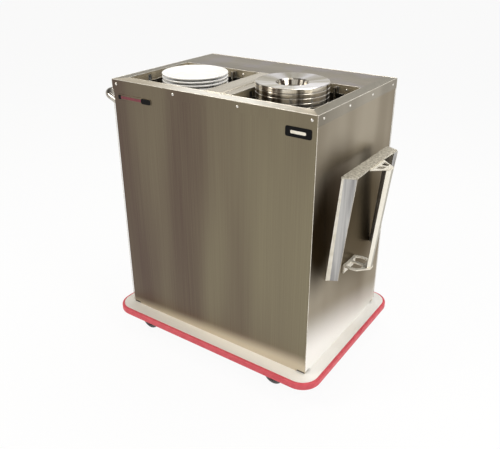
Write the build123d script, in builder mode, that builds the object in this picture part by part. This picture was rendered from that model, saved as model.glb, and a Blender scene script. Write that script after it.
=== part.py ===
from build123d import *
from math import asin, cos, degrees, radians, sin
import os

os.makedirs("parts", exist_ok=True)

# Frame: millimetres, origin on the floor under the middle of the whole part with its two handles.
# X runs along the cabinet (badges face -Y, the handle frame is on +X), Y from front to rear, Z up.
# Every piece is drawn from the middle of the cabinet, and finish() moves it along X by middle_shift.
middle_shift = 11.6

# Cabinet body above the deck
cabinet_width = 781.0
cabinet_depth = 550.0
cabinet_height = 880.0
sheet = 1.5
skirt_height = 33.0
bend_radius = 3.0
return_flange = 16.0
corner_relief_width = 34.0
corner_relief_height = 7.0

# Mobile base
deck_top = 108.0
deck_sheet = 2.0
base_overhang = 40.0
deck_corner = 60.0
bumper_thickness = 10.0
bumper_height = 25.0
bumper_rounding = 5.5
track_height = 24.0
fit_gap = 0.2

# Plate wells in the top frame
left_well_edges = (-358.0, -34.0)
right_well_edges = (70.0, 349.0)
well_front = -228.0
well_rear = 81.0
well_sheet = 1.2
slot_width = 17.0
slot_offset = 52.0
slot_bottom = 240.0

# Casters
caster_spread_x = 582.0
caster_spread_y = 500.0
wheel_radius = 38.0
wheel_width = 32.0
caster_trail = 32.0
axle_radius = 5.0
running_gap = 0.05

# Self-levelling carriers
platform_width = 236.0
platform_length = 303.0
platform_sheet = 3.0
post_radius = 6.0
post_offset_x = 58.0
post_offset_y = 137.5
crossbar_width = 10.0
crossbar_height = 20.0
crossbar_drop = 134.0
crossbar_ends = 18.0
spring_radius = 10.0
spring_clearance = 15.0
hanger_bottom = 958.0

# Loads
plates_x = -196.0
dish_bases_x = 189.0
plate_radius = 112.6
plate_height = 24.0
plate_pitch = 11.5
plate_count = 14
top_plate_top = 1001.0
dish_base_radius = 115.3
dish_base_depth = 25.5
dish_base_pitch = 14.0
dish_base_count = 12
top_dish_base_top = 1020.0
load_gap = 0.3

# Values worked out from the driving dimensions
frame_top = deck_top + cabinet_height
under_frame = frame_top - sheet
half_width = cabinet_width / 2
half_depth = cabinet_depth / 2
panel_x = half_width - sheet
panel_y = half_depth - sheet
deck_width = cabinet_width + 2 * base_overhang
deck_depth = cabinet_depth + 2 * (base_overhang + 7.0)
well_length = well_rear - well_front
well_centre_y = (well_front + well_rear) / 2
plate_platform_top = top_plate_top - plate_height - (plate_count - 1) * plate_pitch - load_gap
dish_platform_top = top_dish_base_top - (dish_base_count - 1) * dish_base_pitch - dish_base_depth - load_gap


class Well:
    """One well: its side walls' inner faces, its middle, and how far out its springs hang."""

    def __init__(self, edges):
        self.left, self.right = edges
        self.width = self.right - self.left
        self.middle = ((self.left + self.right) / 2, well_centre_y)
        self.spring_offset = self.width / 2 + spring_clearance


left_well = Well(left_well_edges)
right_well = Well(right_well_edges)
wells = (left_well, right_well)


def finish(piece, label):
    """Move one sub-part to the frame's origin, label it and write it as its own file."""
    placed = Pos(middle_shift, 0, 0) * piece.part
    placed.label = label
    export_step(placed, f"parts/{label}.step")


# Deck: flat stainless sheet that carries the cabinet
with BuildPart() as deck:
    with BuildSketch(Plane.XY.offset(deck_top - deck_sheet)):
        RectangleRounded(deck_width, deck_depth, deck_corner)
    extrude(amount=deck_sheet)
finish(deck, "deck")

# Strip welded under the edge of the deck, which holds the bumper
track_bottom = deck_top - deck_sheet - track_height
with BuildPart() as bumper_track:
    with BuildSketch(Plane.XY.offset(track_bottom)):
        RectangleRounded(deck_width, deck_depth, deck_corner)
        RectangleRounded(
            deck_width - 2 * deck_sheet,
            deck_depth - 2 * deck_sheet,
            deck_corner - deck_sheet,
            mode=Mode.SUBTRACT,
        )
    extrude(amount=track_height)
finish(bumper_track, "bumper_track")

# Continuous bumper round the whole base, with both outer edges rounded
bumper_bottom = deck_top - 1.0 - bumper_height
with BuildPart() as bumper:
    with BuildSketch(Plane.XY.offset(bumper_bottom)):
        RectangleRounded(
            deck_width + 2 * bumper_thickness,
            deck_depth + 2 * bumper_thickness,
            deck_corner + bumper_thickness,
        )
        RectangleRounded(
            deck_width + 2 * fit_gap, deck_depth + 2 * fit_gap, deck_corner + fit_gap, mode=Mode.SUBTRACT
        )
    extrude(amount=bumper_height)
    rims = [bumper.faces().sort_by(Axis.Z)[end].outer_wire().edges() for end in (0, -1)]
    fillet(ShapeList([*rims[0], *rims[1]]), radius=bumper_rounding)
finish(bumper, "bumper")

# Two folded channels under the deck, between the front and rear casters
channel_width = 60.0
channel_depth = 20.0
channel_length = 420.0
with BuildPart() as base_channels:
    with BuildSketch(Plane.XY.offset(deck_top - deck_sheet - channel_depth)):
        with GridLocations(caster_spread_x, 0, 2, 1):
            Rectangle(channel_width, channel_length)
    extrude(amount=channel_depth)
    with BuildSketch(Plane.XY.offset(deck_top - deck_sheet - channel_depth + deck_sheet)):
        with GridLocations(caster_spread_x, 0, 2, 1):
            Rectangle(channel_width - 2 * deck_sheet, channel_length)
    extrude(amount=channel_depth, mode=Mode.SUBTRACT)
finish(base_channels, "base_channels")


# Front and rear panels: a flat face with two returns, and a small relief at each bottom corner
for label, side in (("front_panel", -1), ("rear_panel", 1)):
    with BuildPart() as folded_panel:
        with BuildSketch(Plane.XY.offset(deck_top)) as plan:
            with Locations((0, side * (panel_y - return_flange / 2))):
                Rectangle(cabinet_width - 4 * sheet, return_flange)
            fillet(plan.vertices().filter_by(lambda v: abs(v.Y) > panel_y - 1.0), radius=bend_radius)
            with Locations((0, side * (panel_y - sheet - return_flange))):
                Rectangle(cabinet_width - 6 * sheet, 2 * return_flange, mode=Mode.SUBTRACT)
        extrude(amount=under_frame - deck_top)
        with BuildSketch(Plane.XY.offset(deck_top)):
            with Locations((0, side * panel_y)):
                with GridLocations(cabinet_width - corner_relief_width, 0, 2, 1):
                    Rectangle(corner_relief_width, 3 * sheet)
        extrude(amount=corner_relief_height, mode=Mode.SUBTRACT)
    finish(folded_panel, label)

# End panels lap over the returns of the front and rear panels
end_panel_length = 2 * (panel_y - bend_radius + 0.5)
for label, side in (("left_end_panel", -1), ("right_end_panel", 1)):
    with BuildPart() as end_panel:
        with BuildSketch(Plane.XY.offset(deck_top)):
            with Locations((side * (panel_x - sheet / 2), 0)):
                Rectangle(sheet, end_panel_length)
        extrude(amount=under_frame - deck_top)
        with BuildSketch(Plane.XY.offset(deck_top)):
            with Locations((side * panel_x, 0)):
                with GridLocations(0, cabinet_depth - corner_relief_width, 1, 2):
                    Rectangle(3 * sheet, corner_relief_width)
        extrude(amount=corner_relief_height, mode=Mode.SUBTRACT)
    finish(end_panel, label)

# Angle posts inside the four corners
post_leg = 28.0
post_sheet = 2.0
corner_post_x = panel_x - 2 * sheet - 0.3
corner_post_y = panel_y - sheet - 0.3
with BuildPart() as corner_posts:
    with BuildSketch(Plane.XY.offset(deck_top)):
        for sx in (-1, 1):
            for sy in (-1, 1):
                with Locations((sx * (corner_post_x - post_leg / 2), sy * (corner_post_y - post_leg / 2))):
                    Rectangle(post_leg, post_leg)
                inner = post_sheet + post_leg / 2
                with Locations((sx * (corner_post_x - inner), sy * (corner_post_y - inner))):
                    Rectangle(post_leg, post_leg, mode=Mode.SUBTRACT)
    extrude(amount=under_frame - deck_top)
finish(corner_posts, "corner_posts")

# Top frame: front rail and end rails are mitred from the outer corner to the corner of the well
with BuildPart() as front_rail:
    with BuildSketch(Plane.XY.offset(under_frame)):
        Polygon(
            (-half_width, -half_depth),
            (half_width, -half_depth),
            (right_well.right, well_front),
            (left_well.left, well_front),
            align=None,
        )
        with Locations((0, -half_depth + 2 * sheet)):
            with GridLocations(cabinet_width - sheet, 0, 2, 1):
                Rectangle(sheet, 2 * sheet, mode=Mode.SUBTRACT)
    extrude(amount=sheet)
    with BuildSketch(Plane.XY.offset(frame_top - skirt_height)):
        with Locations((0, -half_depth + sheet / 2)):
            Rectangle(cabinet_width, sheet)
    extrude(amount=skirt_height)
finish(front_rail, "front_rail")

for label, side, well_edge in (("left_rail", -1, left_well.left), ("right_rail", 1, right_well.right)):
    with BuildPart() as end_rail:
        with BuildSketch(Plane.XY.offset(under_frame)):
            Polygon(
                (side * half_width, -half_depth),
                (side * half_width, half_depth),
                (well_edge, half_depth),
                (well_edge, well_front),
                align=None,
            )
            with Locations((side * half_width, -half_depth)):
                Rectangle(2 * sheet, 2 * sheet, mode=Mode.SUBTRACT)
        extrude(amount=sheet)
        with BuildSketch(Plane.XY.offset(frame_top - skirt_height)):
            with Locations((side * (half_width - sheet / 2), sheet / 2)):
                Rectangle(sheet, cabinet_depth - sheet)
            with Locations(((side * half_width + well_edge) / 2, half_depth - sheet / 2)):
                Rectangle(half_width - abs(well_edge), sheet)
        extrude(amount=skirt_height)
    finish(end_rail, label)

# Wide shelf behind the wells
shelf_width = right_well.right - left_well.left
shelf_middle = (right_well.right + left_well.left) / 2
with BuildPart() as rear_shelf:
    with BuildSketch(Plane.XY.offset(under_frame)):
        with Locations((shelf_middle, (half_depth + well_rear) / 2)):
            Rectangle(shelf_width, half_depth - well_rear)
    extrude(amount=sheet)
    with BuildSketch(Plane.XY.offset(frame_top - skirt_height)):
        with Locations((shelf_middle, half_depth - sheet / 2)):
            Rectangle(shelf_width, sheet)
    extrude(amount=skirt_height)
finish(rear_shelf, "rear_shelf")

# Divider between the wells: a sheet with a low raised band, and a raised hem beside the right well
band_left = left_well.right
band_right = 32.0
band_slope = 3.0
band_rise = 2.0
hem_width = 7.0
hem_rise = 1.5
with BuildPart() as top_divider:
    with BuildSketch(Plane.XZ.offset(-well_rear)):
        with BuildLine():
            Polyline(
                (band_left, under_frame),
                (band_left, frame_top),
                (band_left + band_slope, frame_top + band_rise),
                (band_right - band_slope, frame_top + band_rise),
                (band_right, frame_top),
                (right_well.left - hem_width, frame_top),
                (right_well.left - hem_width, frame_top + hem_rise),
                (right_well.left, frame_top + hem_rise),
                (right_well.left, under_frame),
                (band_right, under_frame),
                (band_right - band_slope, under_frame + band_rise),
                (band_left + band_slope, under_frame + band_rise),
                close=True,
            )
        make_face()
    extrude(amount=well_length)
finish(top_divider, "top_divider")

# Walls of the two wells, from the deck to the top frame, with slots for the crossbars in the side walls
slot_top = frame_top - 8.0
for label, well in (("left_well_walls", left_well), ("right_well_walls", right_well)):
    with BuildPart() as well_walls:
        with BuildSketch(Plane.XY.offset(deck_top)):
            with Locations(well.middle):
                with GridLocations(well.width + well_sheet, 0, 2, 1):
                    Rectangle(well_sheet, well_length + 2 * well_sheet)
                with GridLocations(0, well_length + well_sheet, 1, 2):
                    Rectangle(well.width - 0.2, well_sheet)
        extrude(amount=under_frame - deck_top)
        with BuildSketch(Plane.XY.offset(slot_bottom)):
            with Locations(well.middle):
                with GridLocations(well.width + well_sheet, 2 * slot_offset, 2, 2):
                    Rectangle(4 * well_sheet, slot_width)
        extrude(amount=slot_top - slot_bottom, mode=Mode.SUBTRACT)
    finish(well_walls, label)

# Guide posts that stand on the deck in both wells
post_top = 982.0
well_middles = [well.middle for well in wells]
with BuildPart() as guide_posts:
    with BuildSketch(Plane.XY.offset(deck_top)):
        with Locations(*well_middles):
            with GridLocations(2 * post_offset_x, 2 * post_offset_y, 2, 2):
                Circle(post_radius)
    extrude(amount=post_top - deck_top)
finish(guide_posts, "guide_posts")

# Collars at the foot of each guide post
collar_radius = 14.0
collar_height = 8.0
with BuildPart() as post_collars:
    with BuildSketch(Plane.XY.offset(deck_top)):
        with Locations(*well_middles):
            with GridLocations(2 * post_offset_x, 2 * post_offset_y, 2, 2):
                Circle(collar_radius)
                Circle(post_radius + running_gap, mode=Mode.SUBTRACT)
    extrude(amount=collar_height)
finish(post_collars, "post_collars")

# Stand-off blocks that hold the top of each guide post off the wall
standoff_bottom = 962.0
standoff_depth = well_length / 2 - post_offset_y - post_radius - 0.2
with BuildPart() as post_standoffs:
    with BuildSketch(Plane.XY.offset(standoff_bottom)):
        with Locations(*well_middles):
            with GridLocations(2 * post_offset_x, well_length - standoff_depth, 2, 2):
                Rectangle(2 * post_radius, standoff_depth)
    extrude(amount=post_top - standoff_bottom)
finish(post_standoffs, "post_standoffs")

# Angle brackets outside the well walls, which the springs hang from
hanger_reach = 27.0
hanger_length = 134.0
hanger_sheet = 4.0
stem_radius = 2.0
stem_hole = 2.6
with BuildPart() as spring_hangers:
    for well in wells:
        between_walls = well.width + 2 * well_sheet
        with BuildSketch(Plane.XY.offset(hanger_bottom)):
            with Locations(well.middle):
                with GridLocations(between_walls + hanger_reach, 0, 2, 1):
                    Rectangle(hanger_reach, hanger_length)
                with GridLocations(2 * well.spring_offset, 2 * slot_offset, 2, 2):
                    Circle(stem_hole, mode=Mode.SUBTRACT)
        extrude(amount=hanger_sheet)
        with BuildSketch(Plane.XY.offset(hanger_bottom)):
            with Locations(well.middle):
                with GridLocations(between_walls + hanger_sheet, 0, 2, 1):
                    Rectangle(hanger_sheet, hanger_length)
        extrude(amount=post_top - hanger_bottom)
finish(spring_hangers, "spring_hangers")

# Rivet heads: domes on the skirt of the top frame, and small ones inside the wells
rivet_radius = 4.5
rivet_rise = 2.0
rivet_height = frame_top - 15.0
front_rivet_pitch = 248.0
end_rivet_pitch = 160.0
well_rivet_radius = 4.0
well_rivet_rise = 1.4
well_rivet_offset = 90.0


def dome(base, outward, radius, rise):
    """One rivet head as a spherical cap, turned about the axis that leaves the face."""
    up = Vector(0, 0, 1)
    cap_radius = (radius**2 + rise**2) / (2 * rise)
    spread = degrees(asin(radius / cap_radius))
    with BuildSketch(Plane(origin=base, x_dir=up, z_dir=up.cross(Vector(*outward)))) as half_section:
        with BuildLine():
            Line((0, 0), (radius, 0))
            CenterArc((0, rise - cap_radius), cap_radius, 90 - spread, spread)
            Line((0, rise), (0, 0))
        make_face()
    revolve(half_section.sketch, axis=Axis(base, outward))


with BuildPart() as frame_rivets:
    for side in (-1, 1):
        for step in (-1.5, -0.5, 0.5, 1.5):
            front_spot = (step * front_rivet_pitch, side * half_depth, rivet_height)
            dome(front_spot, (0, side, 0), rivet_radius, rivet_rise)
            end_spot = (side * half_width, step * end_rivet_pitch, rivet_height)
            dome(end_spot, (side, 0, 0), rivet_radius, rivet_rise)
    for centre_x, centre_y in well_middles:
        for side in (-1, 1):
            for across in (-well_rivet_offset, well_rivet_offset):
                wall_face = (centre_x + across, centre_y + side * well_length / 2, rivet_height)
                dome(wall_face, (0, -side, 0), well_rivet_radius, well_rivet_rise)
finish(frame_rivets, "frame_rivets")

# Two blank plates on the front panel
badge_sheet = 2.0
badge_plates = (
    ("right_badge_plate", 330.5, 822.5, 85.0, 30.0, 6.0),
    ("left_badge_strip", -293.5, 823.5, 147.0, 19.0, 3.0),
)
for label, middle_x, above_deck, length, width, corner in badge_plates:
    with BuildPart() as badge:
        with BuildSketch(Plane.XZ.offset(panel_y)):
            with Locations((middle_x, deck_top + above_deck)):
                RectangleRounded(length, width, corner)
        extrude(amount=badge_sheet)
        chamfer(badge.faces().sort_by(Axis.Y)[0].outer_wire().edges(), length=0.6)
    finish(badge, label)

# Push handle on the left end: one bent tube between two round flanges
tube_radius = 12.7
handle_half_length = 190.0
handle_bar_x = -519.0
handle_bar_z = deck_top + 800.0
handle_foot_z = deck_top + 762.0
handle_bend = 26.0
flange_radius = 27.0
flange_sheet = 6.0
flange_face_x = -panel_x - flange_sheet
stub_length = 34.0
with BuildPart() as push_handle:
    with BuildLine() as handle_route:
        FilletPolyline(
            (flange_face_x, -handle_half_length, handle_foot_z),
            (flange_face_x - stub_length, -handle_half_length, handle_foot_z),
            (handle_bar_x, -handle_half_length, handle_bar_z),
            (handle_bar_x, handle_half_length, handle_bar_z),
            (flange_face_x - stub_length, handle_half_length, handle_foot_z),
            (flange_face_x, handle_half_length, handle_foot_z),
            radius=handle_bend,
        )
    with BuildSketch(Plane(origin=(flange_face_x, -handle_half_length, handle_foot_z), z_dir=(-1, 0, 0))):
        Circle(tube_radius)
    sweep()
finish(push_handle, "push_handle")

with BuildPart() as push_handle_flanges:
    with BuildSketch(Plane.YZ.offset(flange_face_x)):
        with Locations((-handle_half_length, handle_foot_z), (handle_half_length, handle_foot_z)):
            Circle(flange_radius)
    extrude(amount=flange_sheet)
    chamfer(
        push_handle_flanges.edges().filter_by(GeomType.CIRCLE).group_by(Axis.X)[0],
        length=1.5,
    )
finish(push_handle_flanges, "push_handle_flanges")

# Handle frame on the right end. Its plan is given as (distance out from the end, distance along Y).
fitting_y = 5.0
fitting_top = deck_top + 675.0
fitting_bottom = deck_top + 310.0
cover_sheet = 5.0
bracket_sheet = 5.0


def fitting_plan(points):
    """Plan points of the handle frame as points of the object."""
    return [(half_width + out, fitting_y + along) for out, along in points]


def mirrored(points):
    """The same outline on the other side of the fitting's middle."""
    return [(out, -along) for out, along in points]


# Flat cover across the top of the frame, with angled ends
with BuildPart() as handle_top_plate:
    with BuildSketch(Plane.XY.offset(fitting_top - cover_sheet)):
        Polygon(*fitting_plan([(27, -172), (71, -152), (67, -50), (67, 50), (71, 152), (27, 172)]))
    extrude(amount=cover_sheet)
    fillet(handle_top_plate.edges().filter_by(Axis.Z), radius=2.0)
finish(handle_top_plate, "handle_top_plate")

# Two folded legs that lean out towards the top, as outlines of the near one at its two ends
leg_foot = [(-1.5, -171), (10, -162), (33, -150), (26, -140)]
leg_foot += [(22.9, -142.2), (27.4, -148.6), (7.8, -158.6), (-1.5, -166)]
leg_head = [(29, -169), (35, -166), (72, -154), (65, -144)]
leg_head += [(61.9, -146.2), (65.9, -152), (33.7, -162.4), (27.3, -165)]
with BuildPart() as handle_legs:
    for foot, head in ((leg_foot, leg_head), (mirrored(leg_foot), mirrored(leg_head))):
        with BuildSketch(Plane.XY.offset(fitting_bottom)) as foot_outline:
            Polygon(*fitting_plan(foot))
        with BuildSketch(Plane.XY.offset(fitting_top - cover_sheet)) as head_outline:
            Polygon(*fitting_plan(head))
        loft([foot_outline.sketch, head_outline.sketch], ruled=True)
finish(handle_legs, "handle_legs")

# Upright grip: a folded channel between the two brackets, narrower and closer to the panel at its foot
upper_bracket_bottom = fitting_top - cover_sheet - bracket_sheet
lower_bracket_bottom = fitting_bottom - 8.0
grip_head = [(107, -22), (118, -9), (118, 9), (107, 22), (105, 19.8), (115, 7.8), (115, -7.8), (105, -19.8)]
grip_foot = [(73, -17), (82, -7), (82, 7), (73, 17), (70.9, 14.9), (79, 5.8), (79, -5.8), (70.9, -14.9)]
with BuildPart() as handle_grip:
    with BuildSketch(Plane.XY.offset(lower_bracket_bottom + bracket_sheet)):
        Polygon(*fitting_plan(grip_foot))
    with BuildSketch(Plane.XY.offset(upper_bracket_bottom)):
        Polygon(*fitting_plan(grip_head))
    loft(ruled=True)
finish(handle_grip, "handle_grip")

# Two flat brackets, each with a pair of windows. The lower one has a foot turned down against the panel.
window_corner = 5.0
foot_half_length = 44.0
foot_height = 26.0


def pierced_bracket(bottom, outline, window, corner):
    """Flat bracket with two mirrored windows."""
    with BuildSketch(Plane.XY.offset(bottom)) as plan:
        Polygon(*fitting_plan(outline))
        fillet(plan.vertices().filter_by(lambda v: v.X > half_width + 31.0), radius=corner)
    extrude(plan.sketch, amount=bracket_sheet)
    for shape in (window, mirrored(window)):
        with BuildSketch(Plane.XY.offset(bottom)) as hole:
            Polygon(*fitting_plan(shape))
            fillet(hole.vertices(), radius=window_corner)
        extrude(hole.sketch, amount=bracket_sheet, mode=Mode.SUBTRACT)


with BuildPart() as handle_brackets:
    pierced_bracket(
        upper_bracket_bottom,
        [(30, -36), (67, -52), (118, -9), (118, 9), (67, 52), (30, 36)],
        [(74, -5), (74, -38), (99, -21), (99, -5)],
        3.0,
    )
    pierced_bracket(
        lower_bracket_bottom,
        [(-1.5, -44), (26, -51), (50, -48), (84, -12), (84, 12), (50, 48), (26, 51), (-1.5, 44)],
        [(9, -5), (9, -36), (24, -41), (46, -38), (56, -27), (56, -5)],
        8.0,
    )
    with BuildSketch(Plane.XY.offset(lower_bracket_bottom - foot_height)) as foot_plan:
        with Locations((panel_x + bracket_sheet / 2, fitting_y)):
            Rectangle(bracket_sheet, 2 * foot_half_length)
    extrude(foot_plan.sketch, amount=foot_height + bracket_sheet)
finish(handle_brackets, "handle_brackets")

# Screw heads of both handles
screw_radius = 4.5
screw_rise = 2.2
flange_screw_radius = 3.4
flange_screw_rise = 1.8
screw_circle = 20.0
foot_screw_offset = 32.0
with BuildPart() as handle_screws:
    for side in (-1, 1):
        for turn in (90, 210, 330):
            screw_y = side * handle_half_length + screw_circle * cos(radians(turn))
            screw_z = handle_foot_z + screw_circle * sin(radians(turn))
            dome((flange_face_x, screw_y, screw_z), (-1, 0, 0), flange_screw_radius, flange_screw_rise)
        foot_middle = lower_bracket_bottom - foot_height / 2
        foot_spot = (panel_x + bracket_sheet, fitting_y + side * foot_screw_offset, foot_middle)
        dome(foot_spot, (1, 0, 0), screw_radius, screw_rise)
finish(handle_screws, "handle_screws")

# Carrier in each well: a platform on struts and crossbars, guided by four bushes
bush_radius = 9.0
bush_flange_radius = 12.0
bush_bore = post_radius + 0.4
bush_length = 22.0
strut_width = 20.0
strut_offset = 90.0
lip = 12.0
carriers = (("left", left_well, plate_platform_top), ("right", right_well, dish_platform_top))
for name, well, platform_top in carriers:
    middle = well.middle
    bar_top = platform_top - crossbar_drop
    with BuildPart() as platform:
        with BuildSketch(Plane.XY.offset(platform_top - platform_sheet)):
            with Locations(middle):
                RectangleRounded(platform_width, platform_length, 12.0)
                with GridLocations(2 * post_offset_x, 2 * post_offset_y, 2, 2):
                    Circle(bush_radius + 0.05, mode=Mode.SUBTRACT)
        extrude(amount=platform_sheet)
        with BuildSketch(Plane.XY.offset(platform_top - lip)):
            with Locations(middle):
                with GridLocations(platform_width - 2.0, 0, 2, 1):
                    Rectangle(2.0, platform_length - 26.0)
        extrude(amount=lip - platform_sheet)
    finish(platform, f"{name}_platform")

    with BuildPart() as bushes:
        with BuildSketch(Plane.XY.offset(platform_top - bush_length)):
            with Locations(middle):
                with GridLocations(2 * post_offset_x, 2 * post_offset_y, 2, 2):
                    Circle(bush_radius)
        extrude(amount=bush_length)
        with BuildSketch(Plane.XY.offset(platform_top - platform_sheet - 3.0)):
            with Locations(middle):
                with GridLocations(2 * post_offset_x, 2 * post_offset_y, 2, 2):
                    Circle(bush_flange_radius)
        extrude(amount=3.0)
        with BuildSketch(Plane.XY.offset(platform_top - bush_length)):
            with Locations(middle):
                with GridLocations(2 * post_offset_x, 2 * post_offset_y, 2, 2):
                    Circle(bush_bore)
        extrude(amount=bush_length, mode=Mode.SUBTRACT)
    finish(bushes, f"{name}_guide_bushes")

    with BuildPart() as struts:
        with BuildSketch(Plane.XY.offset(bar_top)):
            with Locations(middle):
                with GridLocations(2 * strut_offset, 2 * slot_offset, 2, 2):
                    Rectangle(strut_width, crossbar_width)
        extrude(amount=crossbar_drop - platform_sheet)
    finish(struts, f"{name}_struts")

    with BuildPart() as crossbars:
        with BuildSketch(Plane.XY.offset(bar_top - crossbar_height)):
            with Locations(middle):
                with GridLocations(0, 2 * slot_offset, 1, 2):
                    Rectangle(2 * well.spring_offset + crossbar_ends, crossbar_width)
                with GridLocations(2 * well.spring_offset, 2 * slot_offset, 2, 2):
                    Circle(stem_hole, mode=Mode.SUBTRACT)
        extrude(amount=crossbar_height)
    finish(crossbars, f"{name}_crossbars")

    # Extension springs between the hangers and the crossbars, with a headed stem at each end
    stem_head = 4.5
    head_height = 4.0
    coil_gap = 14.0
    with BuildPart() as springs:
        for bottom, top, radius in (
            (bar_top + coil_gap, hanger_bottom - coil_gap, spring_radius),
            (bar_top - crossbar_height, bar_top + coil_gap, stem_radius),
            (hanger_bottom - coil_gap, hanger_bottom + hanger_sheet, stem_radius),
            (bar_top - crossbar_height - head_height, bar_top - crossbar_height, stem_head),
            (hanger_bottom + hanger_sheet, hanger_bottom + hanger_sheet + head_height, stem_head),
        ):
            with BuildSketch(Plane.XY.offset(bottom)):
                with Locations(middle):
                    with GridLocations(2 * well.spring_offset, 2 * slot_offset, 2, 2):
                        Circle(radius)
            extrude(amount=top - bottom)
    finish(springs, f"{name}_springs")

# Loads. Dinner plates with a foot ring, and steel bases with a wide rim round a deep recess
plate_spot = (plates_x, well_centre_y)
dish_spot = (dish_bases_x, well_centre_y)


def turned_plate(foot):
    """One dinner plate with its foot at the given height."""
    section = Plane(origin=(plate_spot[0], plate_spot[1], foot), x_dir=(1, 0, 0), z_dir=(0, -1, 0))
    with BuildSketch(section) as half_section:
        with BuildLine():
            Polyline((0, 4.5), (60, 4.5), (62, 0), (68, 0), (71, 4.8), (92, 10.5), (109.6, 18.0))
            ThreePointArc((109.6, 18.0), (plate_radius, 21.0), (110.1, plate_height))
            Polyline((110.1, plate_height), (92, 17.4), (80, 12.8), (72, 11.2), (0, 11.2), (0, 4.5))
        make_face()
    revolve(half_section.sketch, axis=Axis((plate_spot[0], plate_spot[1], foot), (0, 0, 1)))


def turned_dish_base(rim):
    """One steel base with the top of its rim at the given height."""
    section = Plane(origin=(dish_spot[0], dish_spot[1], rim), x_dir=(1, 0, 0), z_dir=(0, -1, 0))
    with BuildSketch(section) as half_section:
        with BuildLine():
            Polyline((0, -24), (44, -24), (49, -9.0), (52.5, -5.0), (111, -0.4))
            ThreePointArc((111, -0.4), (114.2, -1.2), (dish_base_radius, -3.2))
            Polyline((dish_base_radius, -3.2), (dish_base_radius, -13.7), (113.7, -13.7), (113.7, -4.2))
            ThreePointArc((113.7, -4.2), (112.9, -2.6), (110.6, -2.0))
            Polyline((110.6, -2.0), (53.1, -6.6), (50.2, -10.2), (45.2, -dish_base_depth))
            Polyline((45.2, -dish_base_depth), (0, -dish_base_depth), (0, -24))
        make_face()
    revolve(half_section.sketch, axis=Axis((dish_spot[0], dish_spot[1], rim), (0, 0, 1)))


top_foot = top_plate_top - plate_height
with BuildPart() as top_plate:
    turned_plate(top_foot)
finish(top_plate, "top_plate")

with BuildPart() as plate_stack:
    for below in range(1, plate_count):
        turned_plate(top_foot - below * plate_pitch)
finish(plate_stack, "plate_stack")

with BuildPart() as top_dish_base:
    turned_dish_base(top_dish_base_top)
finish(top_dish_base, "top_dish_base")

with BuildPart() as dish_base_stack:
    for below in range(1, dish_base_count):
        turned_dish_base(top_dish_base_top - below * dish_base_pitch)
finish(dish_base_stack, "dish_base_stack")

# Casters: the fixed top plate carries a kingpin, and the fork turns on it
caster_plate = 4.0
plate_bottom = deck_top - deck_sheet - caster_plate
boss_bottom = plate_bottom - 5.0
crown_top = boss_bottom - 0.3
crown_sheet = 6.0
head_top = crown_top - crown_sheet - 0.3
kingpin_radius = 6.0
stud_offset_x = 36.0
stud_offset_y = 24.0
with BuildPart() as caster_top_plates:
    with BuildSketch(Plane.XY.offset(plate_bottom)):
        with GridLocations(caster_spread_x, caster_spread_y, 2, 2):
            RectangleRounded(94, 66, 6)
            with GridLocations(2 * stud_offset_x, 2 * stud_offset_y, 2, 2):
                Circle(4.2, mode=Mode.SUBTRACT)
    extrude(amount=caster_plate)
    for bottom, top, radius in (
        (boss_bottom, plate_bottom, 22.0),
        (head_top, boss_bottom, kingpin_radius),
        (head_top - 3.0, head_top, 10.0),
    ):
        with BuildSketch(Plane.XY.offset(bottom)):
            with GridLocations(caster_spread_x, caster_spread_y, 2, 2):
                Circle(radius)
        extrude(amount=top - bottom)
finish(caster_top_plates, "caster_top_plates")

# Welded studs and their nuts, four to a caster
with BuildPart() as caster_studs:
    with BuildSketch(Plane.XY.offset(plate_bottom)):
        with GridLocations(caster_spread_x, caster_spread_y, 2, 2):
            with GridLocations(2 * stud_offset_x, 2 * stud_offset_y, 2, 2):
                Circle(4.0)
    extrude(amount=caster_plate)
    with BuildSketch(Plane.XY.offset(plate_bottom - 4.6)):
        with GridLocations(caster_spread_x, caster_spread_y, 2, 2):
            with GridLocations(2 * stud_offset_x, 2 * stud_offset_y, 2, 2):
                RegularPolygon(7.4, 6)
    extrude(amount=4.6)
finish(caster_studs, "caster_studs")

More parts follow.
